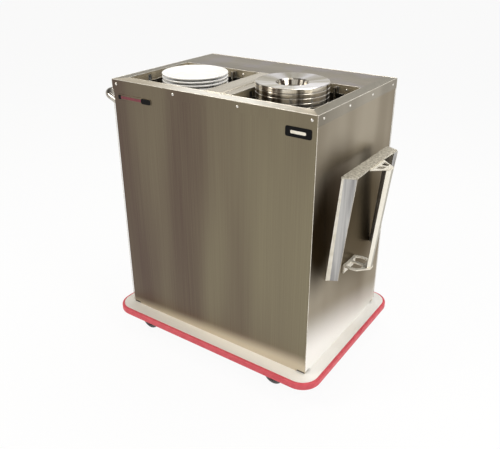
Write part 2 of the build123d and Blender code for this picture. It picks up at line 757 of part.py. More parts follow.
# Each caster: fork, axle and wheel, trailing towards -X at rest
leg_inner = wheel_width / 2 + 3.0
leg_sheet = 3.0
leg_outer = leg_inner + leg_sheet
pivot_height = 78.0
pivot_forward = -8.0
pedal_pin = 3.0
caster_spots = [
    ("front_left", -caster_spread_x / 2, -caster_spread_y / 2, False),
    ("front_right", caster_spread_x / 2, -caster_spread_y / 2, True),
    ("rear_left", -caster_spread_x / 2, caster_spread_y / 2, False),
    ("rear_right", caster_spread_x / 2, caster_spread_y / 2, True),
]
for name, x, y, braked in caster_spots:
    axle_x = x - caster_trail
    with BuildPart() as fork:
        with BuildSketch(Plane.XY.offset(crown_top - crown_sheet)):
            with Locations((x, y)):
                Circle(26.0)
                Circle(kingpin_radius + 0.3, mode=Mode.SUBTRACT)
        extrude(amount=crown_sheet)
        for face_y in (y + leg_outer, y - leg_inner):
            with BuildSketch(Plane.XZ.offset(-face_y)):
                Polygon(
                    (x + 14, crown_top - 1.0),
                    (x - 14, crown_top - 1.0),
                    (x - 34, 84.0),
                    (axle_x - 11.4, wheel_radius + 4),
                    (axle_x + 11.0, wheel_radius - 5),
                    (x + 3, 72.0),
                )
                with Locations((axle_x, wheel_radius)):
                    Circle(12.0)
                    Circle(axle_radius + 0.02, mode=Mode.SUBTRACT)
                if braked:
                    with Locations((x + pivot_forward, pivot_height)):
                        Circle(pedal_pin + 0.08, mode=Mode.SUBTRACT)
            extrude(amount=leg_sheet)
    finish(fork, f"caster_fork_{name}")

    with BuildPart() as axle:
        for start, end, radius in (
            (-leg_outer, leg_outer, axle_radius),
            (-leg_outer - 3.0, -leg_outer, 8.0),
            (leg_outer, leg_outer + 3.0, 8.0),
        ):
            with BuildSketch(Plane.XZ.offset(-(y + end))):
                with Locations((axle_x, wheel_radius)):
                    Circle(radius)
            extrude(amount=end - start)
    finish(axle, f"caster_axle_{name}")

    half_tread = wheel_width / 2
    with BuildPart() as wheel:
        with BuildSketch(Plane(origin=(axle_x, y, wheel_radius), x_dir=(1, 0, 0), z_dir=(0, 0, 1))):
            with BuildLine():
                Polyline(
                    (axle_radius + running_gap, -half_tread - 2.0),
                    (10.5, -half_tread - 2.0),
                    (12.0, -half_tread + 5.0),
                    (24.0, -half_tread + 5.0),
                    (26.0, -half_tread),
                    (33.5, -half_tread),
                )
                ThreePointArc(
                    (33.5, -half_tread), (36.7, -half_tread + 1.3), (wheel_radius, -half_tread + 4.5)
                )
                Line((wheel_radius, -half_tread + 4.5), (wheel_radius, half_tread - 4.5))
                ThreePointArc((wheel_radius, half_tread - 4.5), (36.7, half_tread - 1.3), (33.5, half_tread))
                Polyline(
                    (33.5, half_tread),
                    (26.0, half_tread),
                    (24.0, half_tread - 5.0),
                    (12.0, half_tread - 5.0),
                    (10.5, half_tread + 2.0),
                    (axle_radius + running_gap, half_tread + 2.0),
                    (axle_radius + running_gap, -half_tread - 2.0),
                )
            make_face()
        revolve(axis=Axis((axle_x, y, wheel_radius), (0, 1, 0)))
    finish(wheel, f"caster_wheel_{name}")

    # Brake pedal on the casters at the right end: an arm beside the fork, and a tread behind the wheel
    if braked:
        arm_inner = y + leg_outer + 0.4
        with BuildPart() as pedal:
            with BuildSketch(Plane.XZ.offset(-(arm_inner + 3.0))):
                Polygon(
                    (x + pivot_forward + 7, pivot_height + 5),
                    (x + pivot_forward - 9, pivot_height + 5),
                    (x - 96, 70.0),
                    (x - 96, 66.0),
                    (x - 70, 62.0),
                    (x + pivot_forward - 4, pivot_height - 8),
                    (x + pivot_forward + 7, pivot_height - 5),
                )
            extrude(amount=3.0)
            with BuildSketch(Plane.XZ.offset(-arm_inner)):
                with Locations((x + pivot_forward, pivot_height)):
                    Circle(pedal_pin)
            extrude(amount=leg_sheet + 0.4)
            with BuildSketch(Plane.XY.offset(66.0)):
                with Locations((x - 85, y + 5.0)):
                    Rectangle(22.0, 2 * (arm_inner - y - 5.0))
            extrude(amount=4.0)
        finish(pedal, f"brake_pedal_{name}")
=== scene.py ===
import bpy
import bmesh
import math
from mathutils import Matrix, Vector


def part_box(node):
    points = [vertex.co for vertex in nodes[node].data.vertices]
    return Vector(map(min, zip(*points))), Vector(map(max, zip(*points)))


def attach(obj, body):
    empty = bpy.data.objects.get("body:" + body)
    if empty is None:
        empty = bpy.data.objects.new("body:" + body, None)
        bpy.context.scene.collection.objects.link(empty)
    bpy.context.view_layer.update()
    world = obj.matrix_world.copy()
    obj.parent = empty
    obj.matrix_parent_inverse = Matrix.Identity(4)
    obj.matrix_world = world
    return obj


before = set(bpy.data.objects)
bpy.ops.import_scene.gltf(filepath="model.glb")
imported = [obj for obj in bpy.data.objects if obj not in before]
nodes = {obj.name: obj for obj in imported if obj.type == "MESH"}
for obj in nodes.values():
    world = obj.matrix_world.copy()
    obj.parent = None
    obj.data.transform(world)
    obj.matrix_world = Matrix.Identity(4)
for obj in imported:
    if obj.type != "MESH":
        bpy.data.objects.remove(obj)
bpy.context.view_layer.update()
print("frame loaded:", len(nodes), "CAD nodes")


# colours are written as sRGB hex and turned to linear once, here
def linear(hexColour):
    parts = [int(hexColour[i:i + 2], 16) / 255 for i in (0, 2, 4)]
    return tuple(c / 12.92 if c <= 0.04045 else ((c + 0.055) / 1.055) ** 2.4 for c in parts) + (1.0,)


# adds one node with its settings, and fills or links its inputs
def addNode(tree, kind, inputs=None, **settings):
    node = tree.nodes.new(kind)
    for name, value in settings.items():
        setattr(node, name, value)
    for name, value in (inputs or {}).items():
        if isinstance(value, bpy.types.NodeSocket):
            tree.links.new(value, node.inputs[name])
        else:
            node.inputs[name].default_value = value
    return node


# a new material with its shader, on which everything that is the same all over is set
def startMaterial(name, fixed):
    material = bpy.data.materials.new(name)
    material.use_nodes = True
    tree = material.node_tree
    tree.nodes.clear()
    shader = addNode(tree, "ShaderNodeBsdfPrincipled", fixed)
    addNode(tree, "ShaderNodeOutputMaterial", {"Surface": shader.outputs[0]})
    return material, tree, shader


# the camera, solved from the cabinet's straight edges
camera = {
    "place": (1.1286, -1.654, 1.432),  # metres
    "right": (0.8241, 0.5664, 0.0),
    "up": (-0.2514, 0.3658, 0.8961),
    "lens": 42.81,  # mm
    "sensor": 36.0,  # mm
    "clip": (0.05, 120.0),  # metres
}
cameraData = bpy.data.cameras.new("studioCamera")
cameraData.lens, cameraData.sensor_width = camera["lens"], camera["sensor"]
cameraData.clip_start, cameraData.clip_end = camera["clip"]
cameraObject = bpy.data.objects.new("studioCamera", cameraData)
bpy.context.scene.collection.objects.link(cameraObject)
right, up = Vector(camera["right"]).normalized(), Vector(camera["up"]).normalized()
turn = Matrix((right, up, right.cross(up))).transposed().to_4x4()
cameraObject.matrix_world = Matrix.Translation(camera["place"]) @ turn
bpy.context.scene.camera = cameraObject
print("camera placed")

# floor and world: a pale room that reads as white paper to the camera
studio = {
    "floor": "f4f3f1",
    "floorHalf": 30,  # metres from its middle to its edges
    "floorGlow": 0.93,  # how much of the floor's white is its own; the rest is lit and keeps the shadow
    "horizon": "f6f5f3",
    "zenith": "6f6d6a",
    "skyFade": (0.05, 0.75),  # heights between which the horizon's tone turns into the zenith's
    "worldStrength": 0.9,
}
white = (1, 1, 1, 1)
material, tree, shader = startMaterial("paintedFloor", {
    "Base Color": linear(studio["floor"]), "Roughness": 0.9, "Specular IOR Level": 0.1})
path = addNode(tree, "ShaderNodeLightPath").outputs
seen = addNode(tree, "ShaderNodeMath", {0: path["Is Camera Ray"], 1: path["Is Glossy Ray"]},
               operation="MAXIMUM").outputs[0]
seen = addNode(tree, "ShaderNodeMath", {0: seen, 1: path["Is Transmission Ray"]},
               operation="MAXIMUM").outputs[0]
share = addNode(tree, "ShaderNodeMath", {0: seen, 1: studio["floorGlow"]}, operation="MULTIPLY").outputs[0]
glow = addNode(tree, "ShaderNodeEmission", {"Color": white, "Strength": 1.0})
both = addNode(tree, "ShaderNodeMixShader", {0: share, 1: shader.outputs[0], 2: glow.outputs[0]})
output = next(node for node in tree.nodes if node.type == "OUTPUT_MATERIAL")
tree.links.new(both.outputs[0], output.inputs["Surface"])
half = studio["floorHalf"]
floorMesh = bpy.data.meshes.new("studioFloor")
floorCorners = [(-half, -half, 0), (half, -half, 0), (half, half, 0), (-half, half, 0)]
floorMesh.from_pydata(floorCorners, [], [(0, 1, 2, 3)])
floorMesh.materials.append(material)
floorObject = bpy.data.objects.new("studioFloor", floorMesh)
bpy.context.scene.collection.objects.link(floorObject)

world = bpy.data.worlds.new("softRoom")
bpy.context.scene.world = world
world.use_nodes = True
tree = world.node_tree
tree.nodes.clear()
direction = addNode(tree, "ShaderNodeTexCoord").outputs["Generated"]
height = addNode(tree, "ShaderNodeSeparateXYZ", {0: direction}).outputs["Z"]
low, high = studio["skyFade"]
fade = addNode(tree, "ShaderNodeMapRange", {"Value": height, "From Min": low, "From Max": high},
               interpolation_type="SMOOTHSTEP").outputs[0]
sky = addNode(tree, "ShaderNodeMix", {
    "Factor": fade, "A": linear(studio["horizon"]), "B": linear(studio["zenith"])},
    data_type="RGBA").outputs["Result"]
room = addNode(tree, "ShaderNodeBackground", {"Color": sky, "Strength": studio["worldStrength"]})
paper = addNode(tree, "ShaderNodeBackground", {"Color": white, "Strength": 1.0})
isCamera = addNode(tree, "ShaderNodeLightPath").outputs["Is Camera Ray"]
seen = addNode(tree, "ShaderNodeMixShader", {0: isCamera, 1: room.outputs[0], 2: paper.outputs[0]})
addNode(tree, "ShaderNodeOutputWorld", {"Surface": seen.outputs[0]})

# three soft boxes: a slightly warm one at the front, a plain one overhead and a third at the right end
lamps = {
    # name: (place, aimed at, width, height, watts, colour)
    "keySoftbox": ((-1.7, -2.3, 3.0), (0.0, 0.0, 0.6), 1.6, 1.6, 62.0, "fffaf2"),
    "topSoftbox": ((0.3, 0.6, 3.1), (0.0, 0.0, 0.9), 2.6, 2.0, 54.0, "ffffff"),
    "sideSoftbox": ((3.0, -0.6, 2.2), (0.3, 0.0, 0.5), 1.2, 1.8, 42.0, "fbfaf6"),
}
for name, (place, target, width, tall, watts, colour) in lamps.items():
    lamp = bpy.data.lights.new(name, "AREA")
    lamp.shape, lamp.size, lamp.size_y, lamp.energy = "RECTANGLE", width, tall, watts
    lamp.color = linear(colour)[:3]
    lampObject = bpy.data.objects.new(name, lamp)
    lampObject.location = place
    lampObject.rotation_euler = (Vector(target) - Vector(place)).to_track_quat("-Z", "Y").to_euler()
    bpy.context.scene.collection.objects.link(lampObject)
bpy.context.scene.view_settings.view_transform = "Standard"
print("studio ready:", len(lamps), "lamps")

# metals: every one is steel, and they differ in how the surface was finished
# dark, light: the two tones that the finish wavers between; sway: how far it goes, 1 where not given
# bandMm: how wide a band of tone is; on a round piece bandCount is how many go round
# bandEdge: the noise at which a band starts and is full, so the closer the two, the sharper the band
# grainMm: the pitch of the hair lines, drawn a few times coarser than the belt's own so that they show
# drift: how much lighter the sheet is painted per metre along X, Y and Z, a painted reflection that brightens
# along it; edge: the metal's tint at a low angle
# foot, mouth, facing: a tone of its own next to the deck, painted as the deck's reflection, at the mouth of a
# well, above its painted shade, and on faces turned one way, where it is painted light on all but the end
# rails
# scatter: the part of the shine that is scattered there
# clouds: soft areas of painted shade and painted highlight, each (middle, reach, colour, share)
steels = {
    # front and rear sheets, brushed along Z with a fine belt: slow upright bands of warm grey that grow
    # lighter along X, a painted reflection of the room, hair lines that break the gloss, and a paler foot, a
    # painted reflection of the deck
    "frontPanelSheetPaintedReflection": {
        "dark": "5f5047", "light": "8a826a", "sway": 0.45, "drift": (0.75, 0.0, -0.12),
        "bandMm": 170, "grainAxis": "Z", "grainMm": 2.2, "roughness": (0.30, 0.42), "bump": 0.05,
        "foot": {"colour": "d3c8b4", "heightMm": 27, "lean": (-0.055, 0.0), "share": 0.85}},
    # end sheets, brushed alike but paler: nearly white and matt at the foot, a painted reflection of the deck,
    # and dark behind the folded frame and its grip, a painted shade and reflection of the frame, which shade
    # them
    "endPanelSheetPaintedShadeAndReflection": {
        "dark": "8b8273", "light": "b7af9f", "edge": "cfc7be", "sway": 0.8,
        "bandMm": 190, "grainAxis": "Z", "grainMm": 2.2, "roughness": (0.28, 0.40), "bump": 0.05,
        "foot": {"colour": "fffdf9", "heightMm": 92, "lean": (0.0, 0.24), "share": 1.0, "scatter": 1.0},
        # painted shade and reflection of the handle frame: olive between its legs, dark beside the near leg
        # and its grip
        "paintedLightClouds": [
            ((0.402, 0.090, 0.545), (0.20, 0.290, 0.280), "4a4130", 0.92),
            ((0.402, -0.150, 0.665), (0.20, 0.190, 0.230), "2b231d", 0.92),
            ((0.402, -0.215, 0.590), (0.20, 0.130, 0.210), "080505", 1.0)]},
    # front rail: the front sheet's tone on its skirt, painted reflection included, and a pale top that is a
    # painted reflection, with a painted highlight across its middle
    "frontRailSheetPaintedReflection": {
        "dark": "5f5047", "light": "8a826a", "sway": 0.45, "drift": (0.75, 0.0, -0.12),
        "bandMm": 170, "grainAxis": "Z", "grainMm": 2.2, "roughness": (0.28, 0.40), "bump": 0.05,
        "facing": [((0, 0, 1), {
            "dark": "a3977f", "light": "b9ae98", "scatter": 0.5,
            "bandMm": 90, "grainAxis": "X", "grainMm": 2.0,
            # a painted highlight across the middle of the rail's top
            "paintedLightClouds": [((0.075, -0.25, 0.988), (0.30, 0.5, 0.5), "f6f2e8", 0.95)]})]},
    # end rails: the end sheet's tone on the skirt, a little darker, and brushed along Y on top
    "endRailSheet": {
        "dark": "776f60", "light": "a39b8b", "sway": 0.8,
        "bandMm": 190, "grainAxis": "Z", "grainMm": 2.2, "roughness": (0.28, 0.40), "bump": 0.05,
        "facing": [((0, 0, 1), {
            "dark": "8e8776", "light": "a39c8b", "bandMm": 120, "grainAxis": "Y", "grainMm": 2.0})]},
    # rear shelf: cross-brushed sheet, with faint warm and cool patches
    "shelfSheet": {
        "dark": "8d8371", "light": "aaa08d", "tint": ("a39a9c", 0.55),
        "bandMm": 140, "grainAxis": "X", "grainMm": 2.0, "roughness": (0.26, 0.38), "bump": 0.04},
    # raised divider: the same sheet, paler than the shelf
    "dividerSheet": {
        "dark": "bfb6a4", "light": "e0d8c8", "metallic": 0.85,
        "bandMm": 60, "grainAxis": "Y", "grainMm": 2.0, "roughness": (0.24, 0.36), "bump": 0.04},
    # wells: a brushed skirt at the mouth, and painted shade below it, where the walls are coloured nearly
    # black for the dark inside of the well
    "wellSheetPaintedShade": {
        "dark": "241f1b", "light": "3f3930", "metallic": 0.5,
        "bandMm": 70, "grainAxis": "Z", "grainMm": 2.0, "roughness": (0.35, 0.50), "bump": 0.04,
        "mouth": {
            "dark": "9d9078", "light": "cabfa6", "level": 0.9585,
            "bandMm": 60, "grainAxis": "Z", "grainMm": 2.0}},
    # carrier platforms: brushed sheet left a little dull, since it is always under a load
    "platformSheet": {
        "dark": "77705f", "light": "a39b88",
        "bandMm": 60, "grainAxis": "X", "grainMm": 2.0, "roughness": (0.30, 0.45), "bump": 0.04},
    # deck: sheet polished bright; its near-white, mostly scattering colour is a painted reflection of the
    # white room
    "deckSheetPaintedReflection": {
        "dark": "f1ece2", "light": "faf8f3", "metallic": 0.15,
        "bandMm": 200, "grainAxis": "X", "grainMm": 2.4, "roughness": (0.30, 0.42), "bump": 0.03},
    # folded legs of the handle frame: satin sheet, cool grey on its wide faces, in narrow upright bands
    "satinFolding": {
        "dark": "8f8d8d", "light": "c6c4c1", "metallic": 0.8,
        "bandMm": 13, "grainAxis": "Z", "grainMm": 1.8, "roughness": (0.28, 0.42), "bump": 0.05},
    # upright grip: the same satin sheet, with a painted highlight that makes the side facing the front pale
    "satinGripPaintedHighlight": {
        "dark": "9f9a8d", "light": "bdb8aa", "metallic": 0.7,
        "bandMm": 30, "grainAxis": "Z", "grainMm": 1.8, "roughness": (0.28, 0.42), "bump": 0.05,
        "facing": [((0.3, -0.95, 0), {
            "dark": "e9e1cf", "light": "f7f2e6", "bandMm": 40, "grainAxis": "Z", "grainMm": 1.8})]},
    # cover plate: the same sheet, bead blasted, with a fine speckle
    "blastedCover": {
        "dark": "a9a292", "light": "ddd7c8", "metallic": 0.5,
        "bandMm": 7, "grainAxis": "none", "grainMm": 2.5, "roughness": (0.40, 0.55), "bump": 0.08},
    # brackets, leg folds and the badge's field: sheet blasted paler, which scatters most of its light
    "satinPlate": {
        "dark": "e0d9c9", "light": "f3eee2", "metallic": 0.2,
        "bandMm": 35, "grainAxis": "Y", "grainMm": 1.8, "roughness": (0.30, 0.45), "bump": 0.05},
    # rolled hems and folds: pale, a painted highlight on edges that also catch the light
    "pressedHemPaintedHighlight": {
        "dark": "d8d0c0", "light": "f3eee2", "metallic": 0.6,
        "bandMm": 30, "grainAxis": "none", "grainMm": 2.0, "roughness": (0.20, 0.32), "bump": 0.02},
    # drawn tube and turned posts: bright, with faint rings from the polishing belt
    "polishedTube": {
        "dark": "a39c92", "light": "c9c4bb",
        "bandMm": 30, "grainAxis": "Y", "grainMm": 1.6, "roughness": (0.14, 0.22), "bump": 0.02},
    # pressed bases: mirror-like, with bands of painted reflection round the skirt, rings of it on top, painted
    # light on the undersides, and spinning marks that roughen the gloss
    "pressedDishPaintedReflection": {
        "dark": "453a2f", "light": "e0d9cc", "metallic": 0.85, "middle": (0.2006, -0.0735, 0.0),
        "bandCount": 9, "bandEdge": (0.42, 0.58), "grainAxis": "round", "grainMm": 1.4,
        "roughness": (0.10, 0.22), "bump": 0.02,
        "facing": [
            # painted light: the undersides, where shade falls between the stacked bases, are coloured pale
            ((0, 0, -1), {
                "dark": "9a9080", "light": "cfc8bb", "bandMm": 30, "grainAxis": "none", "grainMm": 2.0}),
            # tops: rings of painted reflection
            ((0, 0, 1), {
                "dark": "b3ab96", "light": "fbf8fa", "middle": (0.2006, -0.0735, 0.0),
                "bandCount": 5, "bandEdge": (0.33, 0.67), "grainAxis": "round", "grainMm": 1.4})]},
    # hot-dip galvanised sheet under the deck: dull blue-grey, mottled by its zinc crystals
    "galvanisedSheet": {
        "dark": "7d7f80", "light": "a4a6a6",
        "bandMm": 18, "grainAxis": "none", "grainMm": 9.0, "roughness": (0.40, 0.60), "bump": 0.03},
    # rolled corner posts: bare mill scale, dark and dull
    "rolledPost": {
        "dark": "3f3b36", "light": "57524b",
        "bandMm": 25, "grainAxis": "Z", "grainMm": 3.0, "roughness": (0.45, 0.62), "bump": 0.04},
    # zinc-plated forks, plates and fixings: an even cool grey with a soft shine
    "zincPlated": {
        "dark": "9a9c9e", "light": "bcbec0",
        "bandMm": 22, "grainAxis": "none", "grainMm": 3.0, "roughness": (0.28, 0.42), "bump": 0.03},
    # rivets and screws of bright stainless steel: small pale heads with a clear glint
    "rivetHead": {
        "dark": "d2cdc4", "light": "efebe4",
        "bandMm": 12, "grainAxis": "none", "grainMm": 1.5, "roughness": (0.18, 0.30), "bump": 0.02},
    # springs of drawn wire: mid grey and soft in the gloss, with drawing marks along their length
    "springWire": {
        "dark": "6f7275", "light": "8f9295",
        "bandMm": 10, "grainAxis": "Z", "grainMm": 2.0, "roughness": (0.28, 0.40), "bump": 0.10},
}
# what every steel finish has in common
brushing = {
    "hairRun": 0.45,  # metres that a hair line runs before it fades
    "bandRun": 0.35,  # along the grain a band of tone changes this much slower than a hair line
    "hairTone": 0.11,  # how far a hair line moves the tone either way
    "halfTurn": 3.14,  # the bands of a round piece are counted over this angle
    "patchScale": 9.0,  # per metre, so a patch of another hue is about 110 mm wide
    "patchEdge": (0.45, 0.62),  # noise at which a patch starts, and at which it is full
    "cloudEdge": (0.35, 1.15),  # where a cloud starts to fade and where it ends, in parts of its reach
    "facingEdge": (0.55, 0.85),  # cosines at which a face starts to count as turned one way, and fully does
    "deckLevel": 0.108,  # metres above the floor, where a foot starts
    "reliefDepth": 0.0004,  # metres that a hair line stands up at a bump of 1
}
noiseLow, noiseHigh = 0.30, 0.70  # noise seldom leaves this span
axisSlots = {"X": 0, "Y": 1, "Z": 2}


# the colour of one finish over a face, and the hair lines that go with it
def finishTone(tree, place, look):
    hairScale = 1000 / look["grainMm"]
    if look["grainAxis"] == "round":  # spinning marks run round the piece, so only its radius counts
        moved = addNode(tree, "ShaderNodeVectorMath", {0: place, 1: look["middle"]},
                        operation="SUBTRACT").outputs[0]
        flat = addNode(tree, "ShaderNodeVectorMath", {0: moved, 1: (1, 1, 0)},
                       operation="MULTIPLY").outputs[0]
        reach = addNode(tree, "ShaderNodeVectorMath", {0: flat}, operation="LENGTH").outputs["Value"]
        lift = addNode(tree, "ShaderNodeSeparateXYZ", {0: moved}).outputs["Z"]
        joined = addNode(tree, "ShaderNodeCombineXYZ", {"X": reach, "Y": lift}).outputs[0]
        grainPlace = addNode(tree, "ShaderNodeVectorMath", {0: joined, "Scale": hairScale},
                             operation="SCALE").outputs[0]
        around = addNode(tree, "ShaderNodeVectorMath", {0: flat}, operation="NORMALIZE").outputs[0]
        bandScale = look["bandCount"] / brushing["halfTurn"]
        bandPlace = addNode(tree, "ShaderNodeVectorMath", {0: around, "Scale": bandScale},
                            operation="SCALE").outputs[0]
    else:
        grainScale = [hairScale] * 3
        bandScale = [1000 / look["bandMm"]] * 3
        if look["grainAxis"] in axisSlots:
            along = axisSlots[look["grainAxis"]]
            grainScale[along] = 1 / brushing["hairRun"]
            bandScale[along] = brushing["bandRun"] / brushing["hairRun"]
        grainPlace = addNode(tree, "ShaderNodeMapping", {"Vector": place, "Scale": grainScale}).outputs[0]
        bandPlace = addNode(tree, "ShaderNodeMapping", {"Vector": place, "Scale": bandScale}).outputs[0]
    grain = addNode(tree, "ShaderNodeTexNoise", {
        "Vector": grainPlace, "Scale": 1.0, "Detail": 2.0, "Roughness": 0.6}).outputs["Fac"]
    bands = addNode(tree, "ShaderNodeTexNoise", {
        "Vector": bandPlace, "Scale": 1.0, "Detail": 1.5, "Roughness": 0.5}).outputs["Fac"]
    sway = look.get("sway", 1.0)
    low, high = look.get("bandEdge", (noiseLow, noiseHigh))
    spread = addNode(tree, "ShaderNodeMapRange", {
        "Value": bands, "From Min": low, "From Max": high,
        "To Min": 0.5 - sway / 2, "To Max": 0.5 + sway / 2}, interpolation_type="SMOOTHSTEP").outputs[0]
    hairs = addNode(tree, "ShaderNodeMapRange", {
        "Value": grain, "From Min": noiseLow, "From Max": noiseHigh,
        "To Min": -brushing["hairTone"], "To Max": brushing["hairTone"]}).outputs[0]
    tone = addNode(tree, "ShaderNodeMath", {0: spread, 1: hairs}, operation="ADD").outputs[0]
    # drift is a painted reflection: the tone grows lighter along the sheet
    if "drift" in look:
        drift = addNode(tree, "ShaderNodeVectorMath", {0: place, 1: look["drift"]},
                        operation="DOT_PRODUCT").outputs["Value"]
        tone = addNode(tree, "ShaderNodeMath", {0: tone, 1: drift}, operation="ADD").outputs[0]
    tone = addNode(tree, "ShaderNodeClamp", {"Value": tone}).outputs[0]
    colour = addNode(tree, "ShaderNodeMix", {
        "Factor": tone, "A": linear(look["dark"]), "B": linear(look["light"])},
        data_type="RGBA").outputs["Result"]
    if "tint" in look:  # slow patches of another hue, left by heat and cleaning
        tintColour, share = look["tint"]
        patches = addNode(tree, "ShaderNodeTexNoise", {
            "Vector": place, "Scale": brushing["patchScale"], "Detail": 1.0}).outputs["Fac"]
        low, high = brushing["patchEdge"]
        patches = addNode(tree, "ShaderNodeMapRange", {
            "Value": patches, "From Min": low, "From Max": high, "To Max": share},
            interpolation_type="SMOOTHSTEP").outputs[0]
        colour = addNode(tree, "ShaderNodeMix", {
            "Factor": patches, "A": colour, "B": linear(tintColour)}, data_type="RGBA").outputs["Result"]
    # each cloud is painted light: painted shade and reflection on the end sheets, a painted highlight on the
    # front rail's top
    for middle, reach, cloudColour, share in look.get("paintedLightClouds", []):  # each cloud is an ellipsoid
        offset = addNode(tree, "ShaderNodeVectorMath", {0: place, 1: middle}, operation="SUBTRACT").outputs[0]
        offset = addNode(tree, "ShaderNodeVectorMath", {0: offset, 1: reach}, operation="DIVIDE").outputs[0]
        far = addNode(tree, "ShaderNodeVectorMath", {0: offset}, operation="LENGTH").outputs["Value"]
        low, high = brushing["cloudEdge"]
        near = addNode(tree, "ShaderNodeMapRange", {
            "Value": far, "From Min": low, "From Max": high, "To Min": share, "To Max": 0.0},
            interpolation_type="SMOOTHSTEP").outputs[0]
        colour = addNode(tree, "ShaderNodeMix", {
            "Factor": near, "A": colour, "B": linear(cloudColour)}, data_type="RGBA").outputs["Result"]
    return colour, grain


def steelSheet(name, look):
    material, tree, shader = startMaterial(name, {
        "Metallic": look.get("metallic", 1.0), "Specular Tint": linear(look.get("edge", "ffffff"))})
    place = addNode(tree, "ShaderNodeTexCoord").outputs["Object"]
    colour, grain = finishTone(tree, place, look)
    # the foot is a painted reflection of the deck: a pale tone at the foot of the sheet that fades upwards,
    # and where scatter is given it stops being metal there
    if "foot" in look:
        foot = look["foot"]
        level = addNode(tree, "ShaderNodeVectorMath", {0: place, 1: (*foot["lean"], 1.0)},
                        operation="DOT_PRODUCT").outputs["Value"]
        deckLevel = brushing["deckLevel"]
        fade = addNode(tree, "ShaderNodeMapRange", {
            "Value": level, "From Min": deckLevel, "From Max": deckLevel + 2 * foot["heightMm"] / 1000,
            "To Min": foot["share"], "To Max": 0.0}, interpolation_type="SMOOTHSTEP").outputs[0]
        colour = addNode(tree, "ShaderNodeMix", {
            "Factor": fade, "A": colour, "B": linear(foot["colour"])}, data_type="RGBA").outputs["Result"]
        if "scatter" in foot:
            metal = addNode(tree, "ShaderNodeMapRange", {
                "Value": fade, "To Min": 1.0, "To Max": 1.0 - foot["scatter"]}).outputs[0]
            tree.links.new(metal, shader.inputs["Metallic"])
    # above the mouth's level the brushed skirt; below it the walls keep their nearly black painted shade
    if "mouth" in look:
        mouthColour = finishTone(tree, place, look["mouth"])[0]
        lift = addNode(tree, "ShaderNodeSeparateXYZ", {0: place}).outputs["Z"]
        above = addNode(tree, "ShaderNodeMath", {0: lift, 1: look["mouth"]["level"]},
                        operation="GREATER_THAN").outputs[0]
        colour = addNode(tree, "ShaderNodeMix", {
            "Factor": above, "A": colour, "B": mouthColour}, data_type="RGBA").outputs["Result"]
    # faces turned one way take a tone of their own: painted reflection on the front rail's top and the dish
    # bases' tops, a painted highlight on the grip's front, painted light on the dish bases' undersides; on the
    # end rails it is the top's own brushing and tone
    for direction, faceLook in look.get("facing", []):
        faceColour = finishTone(tree, place, faceLook)[0]
        normal = addNode(tree, "ShaderNodeNewGeometry").outputs["Normal"]
        towards = addNode(tree, "ShaderNodeVectorMath", {0: normal, 1: direction},
                          operation="DOT_PRODUCT").outputs["Value"]
        low, high = brushing["facingEdge"]
        share = addNode(tree, "ShaderNodeMapRange", {"Value": towards, "From Min": low, "From Max": high},
                        interpolation_type="SMOOTHSTEP").outputs[0]
        colour = addNode(tree, "ShaderNodeMix", {
            "Factor": share, "A": colour, "B": faceColour}, data_type="RGBA").outputs["Result"]
        if "scatter" in faceLook:
            metal = addNode(tree, "ShaderNodeMapRange", {
                "Value": share, "To Min": 1.0, "To Max": 1.0 - faceLook["scatter"]}).outputs[0]
            tree.links.new(metal, shader.inputs["Metallic"])
    smooth, coarse = look["roughness"]
    rough = addNode(tree, "ShaderNodeMapRange", {
        "Value": grain, "From Min": noiseLow, "From Max": noiseHigh,
        "To Min": smooth, "To Max": coarse}).outputs[0]
    relief = addNode(tree, "ShaderNodeBump", {
        "Height": grain, "Strength": look["bump"], "Distance": brushing["reliefDepth"]}).outputs[0]
    tree.links.new(colour, shader.inputs["Base Color"])
    tree.links.new(rough, shader.inputs["Roughness"])
    tree.links.new(relief, shader.inputs["Normal"])
    return material


materials = {name: steelSheet(name, look) for name, look in steels.items()}
print("metals made:", len(steels))

# plastics, rubber and glaze: worn is the tone of their scuffs and dust, in spots as wide as spotMm
coatings = {
    # extruded vinyl: soft coral red, dull, with faint scuffs along its length
    "extrudedVinyl": {
        "colour": "da5660", "worn": "d04c57", "spotMm": 22,
        "roughness": (0.42, 0.60), "bump": 0.10, "coat": 0.0},
    # poured polyurethane wheels: dark grey tread that has picked up dust
    "pouredPolyurethane": {
        "colour": "4c4d50", "worn": "6a6a69", "spotMm": 7,
        "roughness": (0.50, 0.70), "bump": 0.12, "coat": 0.0},
    # turned nylon bushes: off-white and waxy
    "turnedNylon": {
        "colour": "e3dfd4", "worn": "cfcabd", "spotMm": 5,
        "roughness": (0.38, 0.50), "bump": 0.05, "coat": 0.0},
    # black polyester film on the badges: deep and nearly dull, so it stays black in the light
    "blackFilm": {
        "colour": "070607", "worn": "0d0c0d", "spotMm": 9,
        "roughness": (0.45, 0.60), "bump": 0.02, "coat": 0.0, "specular": 0.12},
    # red polyester film under a thin clear layer: dark red with a soft gloss
    "redFilm": {
        "colour": "74182a", "worn": "661523", "spotMm": 9,
        "roughness": (0.30, 0.42), "bump": 0.02, "coat": 0.2},
    # glazed china: white under clear glass, smooth, with slow waves in the glaze
    "glazedChina": {
        "colour": "f6f5f2", "worn": "eeede9", "spotMm": 35,
        "roughness": (0.10, 0.18), "bump": 0.03, "coat": 0.5},
}
# what every coating has in common
coatingLayer = {
    "coatRoughness": 0.06,
    "specular": 0.5,  # the usual gloss of a plastic, where a coating gives none
    "wornEdge": (0.35, 0.70),  # noise at which wear starts, and at which it is full
    "reliefDepth": 0.0005,  # metres that a spot stands up at a bump of 1
}


